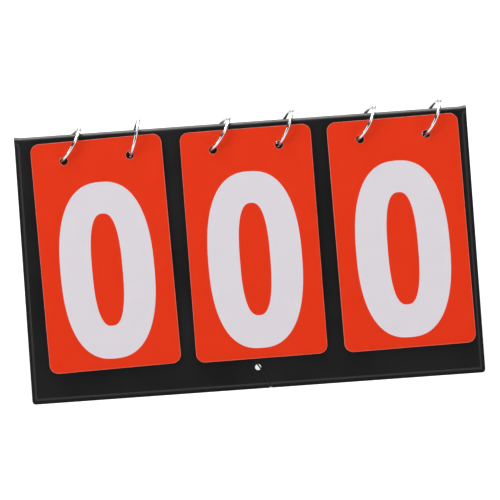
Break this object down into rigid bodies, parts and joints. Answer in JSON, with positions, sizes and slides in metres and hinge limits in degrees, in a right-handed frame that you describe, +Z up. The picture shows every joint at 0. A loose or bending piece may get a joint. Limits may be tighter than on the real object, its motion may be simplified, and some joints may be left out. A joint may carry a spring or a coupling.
{
  "type": "tabletop flip scoreboard",
  "caption": "Tent-shaped tabletop scoreboard: two hinged vinyl covers, stay cord, and three stacks of numbered cards that flip over the top on rings.",
  "frame": {"origin": "on the table, under the middle of the tent", "axes": "+X to the viewer's right along the fold, -Y towards the viewer (the card side), +Z up"},
  "size_m": [0.37, 0.1872, 0.2074],
  "materials": {
    "vinyl": "satin black embossed vinyl",
    "core_board": "grey-brown pressed board, hidden",
    "cord": "black braided cord",
    "ring_chrome": "bright nickel-chrome wire",
    "card_plastic": "red-orange printed plastic sheet with pale digits"
  },
  "bodies": {
    "front_cover": {"front_outer_skin": "vinyl", "front_inner_skin": "vinyl", "front_board": "core_board", "hinge_fold": "vinyl", "front_cord_loop": "cord", "front_knot": "cord", "stay_cord": "cord"},
    "rear_cover": {"rear_outer_skin": "vinyl", "rear_inner_skin": "vinyl", "rear_board": "core_board", "rear_cord_loop": "cord", "rear_knot": "cord"},
    "ring_1": {"ring_1_fixed_half": "ring_chrome", "ring_1_gate_half": "ring_chrome"},
    "ring_2": {"ring_2_fixed_half": "ring_chrome", "ring_2_gate_half": "ring_chrome"},
    "ring_3": {"ring_3_fixed_half": "ring_chrome", "ring_3_gate_half": "ring_chrome"},
    "ring_4": {"ring_4_fixed_half": "ring_chrome", "ring_4_gate_half": "ring_chrome"},
    "ring_5": {"ring_5_fixed_half": "ring_chrome", "ring_5_gate_half": "ring_chrome"},
    "ring_6": {"ring_6_fixed_half": "ring_chrome", "ring_6_gate_half": "ring_chrome"},
    "card_left_0": {"card_left_0": "card_plastic"},
    "card_left_1": {"card_left_1": "card_plastic"},
    "card_left_2": {"card_left_2": "card_plastic"},
    "card_left_3": {"card_left_3": "card_plastic"},
    "card_left_4": {"card_left_4": "card_plastic"},
    "card_left_5": {"card_left_5": "card_plastic"},
    "card_left_6": {"card_left_6": "card_plastic"},
    "card_left_7": {"card_left_7": "card_plastic"},
    "card_left_8": {"card_left_8": "card_plastic"},
    "card_left_9": {"card_left_9": "card_plastic"},
    "card_middle_0": {"card_middle_0": "card_plastic"},
    "card_middle_1": {"card_middle_1": "card_plastic"},
    "card_middle_2": {"card_middle_2": "card_plastic"},
    "card_middle_3": {"card_middle_3": "card_plastic"},
    "card_middle_4": {"card_middle_4": "card_plastic"},
    "card_middle_5": {"card_middle_5": "card_plastic"},
    "card_middle_6": {"card_middle_6": "card_plastic"},
    "card_middle_7": {"card_middle_7": "card_plastic"},
    "card_middle_8": {"card_middle_8": "card_plastic"},
    "card_middle_9": {"card_middle_9": "card_plastic"},
    "card_right_0": {"card_right_0": "card_plastic"},
    "card_right_1": {"card_right_1": "card_plastic"},
    "card_right_2": {"card_right_2": "card_plastic"},
    "card_right_3": {"card_right_3": "card_plastic"},
    "card_right_4": {"card_right_4": "card_plastic"},
    "card_right_5": {"card_right_5": "card_plastic"},
    "card_right_6": {"card_right_6": "card_plastic"},
    "card_right_7": {"card_right_7": "card_plastic"},
    "card_right_8": {"card_right_8": "card_plastic"},
    "card_right_9": {"card_right_9": "card_plastic"}
  },
  "joints": [
    {"name": "cover_fold", "type": "hinge", "parent": "front_cover", "child": "rear_cover", "pos_m": [0, 0, 0.19371], "axis": [1, 0, 0], "range_deg": [-50, 0], "deforming": ["stay_cord", "front_cord_loop", "front_knot", "rear_cord_loop", "rear_knot", "ring_1_fixed_half", "ring_1_gate_half", "ring_2_fixed_half", "ring_2_gate_half", "ring_3_fixed_half", "ring_3_gate_half", "ring_4_fixed_half", "ring_4_gate_half", "ring_5_fixed_half", "ring_5_gate_half", "ring_6_fixed_half", "ring_6_gate_half"]},
    {"name": "ring_1_lean", "type": "hinge", "parent": "front_cover", "child": "ring_1", "pos_m": [-0.14597, 0, 0.18011], "axis": [0, -1, 0], "range_deg": [0, 42]},
    {"name": "ring_2_lean", "type": "hinge", "parent": "front_cover", "child": "ring_2", "pos_m": [-0.09048, 0, 0.18044], "axis": [0, -1, 0], "range_deg": [0, 36]},
    {"name": "ring_3_lean", "type": "hinge", "parent": "front_cover", "child": "ring_3", "pos_m": [-0.02444, 0, 0.17988], "axis": [0, -1, 0], "range_deg": [0, 52]},
    {"name": "ring_4_lean", "type": "hinge", "parent": "front_cover", "child": "ring_4", "pos_m": [0.03116, 0, 0.1805], "axis": [0, -1, 0], "range_deg": [0, 53]},
    {"name": "ring_5_lean", "type": "hinge", "parent": "front_cover", "child": "ring_5", "pos_m": [0.09573, 0, 0.17996], "axis": [0, -1, 0], "range_deg": [0, 47]},
    {"name": "ring_6_lean", "type": "hinge", "parent": "front_cover", "child": "ring_6", "pos_m": [0.15123, 0, 0.18027], "axis": [0, -1, 0], "range_deg": [0, 58]},
    {"name": "card_left_0_flip", "type": "hinge", "parent": "front_cover", "child": "card_left_0", "pos_m": [0, 0, 0.20538], "axis": [-1, 0, 0], "range_deg": [0, 310]},
    {"name": "card_left_1_flip", "type": "hinge", "parent": "front_cover", "child": "card_left_1", "pos_m": [0, 0, 0.20538], "axis": [-1, 0, 0], "range_deg": [0, 310]},
    {"name": "card_left_2_flip", "type": "hinge", "parent": "front_cover", "child": "card_left_2", "pos_m": [0, 0, 0.20538], "axis": [-1, 0, 0], "range_deg": [0, 310]},
    {"name": "card_left_3_flip", "type": "hinge", "parent": "front_cover", "child": "card_left_3", "pos_m": [0, 0, 0.20538], "axis": [-1, 0, 0], "range_deg": [0, 310]},
    {"name": "card_left_4_flip", "type": "hinge", "parent": "front_cover", "child": "card_left_4", "pos_m": [0, 0, 0.20538], "axis": [-1, 0, 0], "range_deg": [0, 310]},
    {"name": "card_left_5_flip", "type": "hinge", "parent": "front_cover", "child": "card_left_5", "pos_m": [0, 0, 0.20538], "axis": [-1, 0, 0], "range_deg": [0, 310]},
    {"name": "card_left_6_flip", "type": "hinge", "parent": "front_cover", "child": "card_left_6", "pos_m": [0, 0, 0.20538], "axis": [-1, 0, 0], "range_deg": [0, 310]},
    {"name": "card_left_7_flip", "type": "hinge", "parent": "front_cover", "child": "card_left_7", "pos_m": [0, 0, 0.20538], "axis": [-1, 0, 0], "range_deg": [0, 310]},
    {"name": "card_left_8_flip", "type": "hinge", "parent": "front_cover", "child": "card_left_8", "pos_m": [0, 0, 0.20538], "axis": [-1, 0, 0], "range_deg": [0, 310]},
    {"name": "card_left_9_flip", "type": "hinge", "parent": "front_cover", "child": "card_left_9", "pos_m": [0, 0, 0.20538], "axis": [-1, 0, 0], "range_deg": [0, 310]},
    {"name": "card_middle_0_flip", "type": "hinge", "parent": "front_cover", "child": "card_middle_0", "pos_m": [0, 0, 0.20538], "axis": [-1, 0, 0], "range_deg": [0, 310]},
    {"name": "card_middle_1_flip", "type": "hinge", "parent": "front_cover", "child": "card_middle_1", "pos_m": [0, 0, 0.20538], "axis": [-1, 0, 0], "range_deg": [0, 310]},
    {"name": "card_middle_2_flip", "type": "hinge", "parent": "front_cover", "child": "card_middle_2", "pos_m": [0, 0, 0.20538], "axis": [-1, 0, 0], "range_deg": [0, 310]},
    {"name": "card_middle_3_flip", "type": "hinge", "parent": "front_cover", "child": "card_middle_3", "pos_m": [0, 0, 0.20538], "axis": [-1, 0, 0], "range_deg": [0, 310]},
    {"name": "card_middle_4_flip", "type": "hinge", "parent": "front_cover", "child": "card_middle_4", "pos_m": [0, 0, 0.20538], "axis": [-1, 0, 0], "range_deg": [0, 310]},
    {"name": "card_middle_5_flip", "type": "hinge", "parent": "front_cover", "child": "card_middle_5", "pos_m": [0, 0, 0.20538], "axis": [-1, 0, 0], "range_deg": [0, 310]},
    {"name": "card_middle_6_flip", "type": "hinge", "parent": "front_cover", "child": "card_middle_6", "pos_m": [0, 0, 0.20538], "axis": [-1, 0, 0], "range_deg": [0, 310]},
    {"name": "card_middle_7_flip", "type": "hinge", "parent": "front_cover", "child": "card_middle_7", "pos_m": [0, 0, 0.20538], "axis": [-1, 0, 0], "range_deg": [0, 310]},
    {"name": "card_middle_8_flip", "type": "hinge", "parent": "front_cover", "child": "card_middle_8", "pos_m": [0, 0, 0.20538], "axis": [-1, 0, 0], "range_deg": [0, 310]},
    {"name": "card_middle_9_flip", "type": "hinge", "parent": "front_cover", "child": "card_middle_9", "pos_m": [0, 0, 0.20538], "axis": [-1, 0, 0], "range_deg": [0, 310]},
    {"name": "card_right_0_flip", "type": "hinge", "parent": "front_cover", "child": "card_right_0", "pos_m": [0, 0, 0.20538], "axis": [-1, 0, 0], "range_deg": [0, 310]},
    {"name": "card_right_1_flip", "type": "hinge", "parent": "front_cover", "child": "card_right_1", "pos_m": [0, 0, 0.20538], "axis": [-1, 0, 0], "range_deg": [0, 310]},
    {"name": "card_right_2_flip", "type": "hinge", "parent": "front_cover", "child": "card_right_2", "pos_m": [0, 0, 0.20538], "axis": [-1, 0, 0], "range_deg": [0, 310]},
    {"name": "card_right_3_flip", "type": "hinge", "parent": "front_cover", "child": "card_right_3", "pos_m": [0, 0, 0.20538], "axis": [-1, 0, 0], "range_deg": [0, 310]},
    {"name": "card_right_4_flip", "type": "hinge", "parent": "front_cover", "child": "card_right_4", "pos_m": [0, 0, 0.20538], "axis": [-1, 0, 0], "range_deg": [0, 310]},
    {"name": "card_right_5_flip", "type": "hinge", "parent": "front_cover", "child": "card_right_5", "pos_m": [0, 0, 0.20538], "axis": [-1, 0, 0], "range_deg": [0, 310]},
    {"name": "card_right_6_flip", "type": "hinge", "parent": "front_cover", "child": "card_right_6", "pos_m": [0, 0, 0.20538], "axis": [-1, 0, 0], "range_deg": [0, 310]},
    {"name": "card_right_7_flip", "type": "hinge", "parent": "front_cover", "child": "card_right_7", "pos_m": [0, 0, 0.20538], "axis": [-1, 0, 0], "range_deg": [0, 310]},
    {"name": "card_right_8_flip", "type": "hinge", "parent": "front_cover", "child": "card_right_8", "pos_m": [0, 0, 0.20538], "axis": [-1, 0, 0], "range_deg": [0, 310]},
    {"name": "card_right_9_flip", "type": "hinge", "parent": "front_cover", "child": "card_right_9", "pos_m": [0, 0, 0.20538], "axis": [-1, 0, 0], "range_deg": [0, 310]}
  ]
}
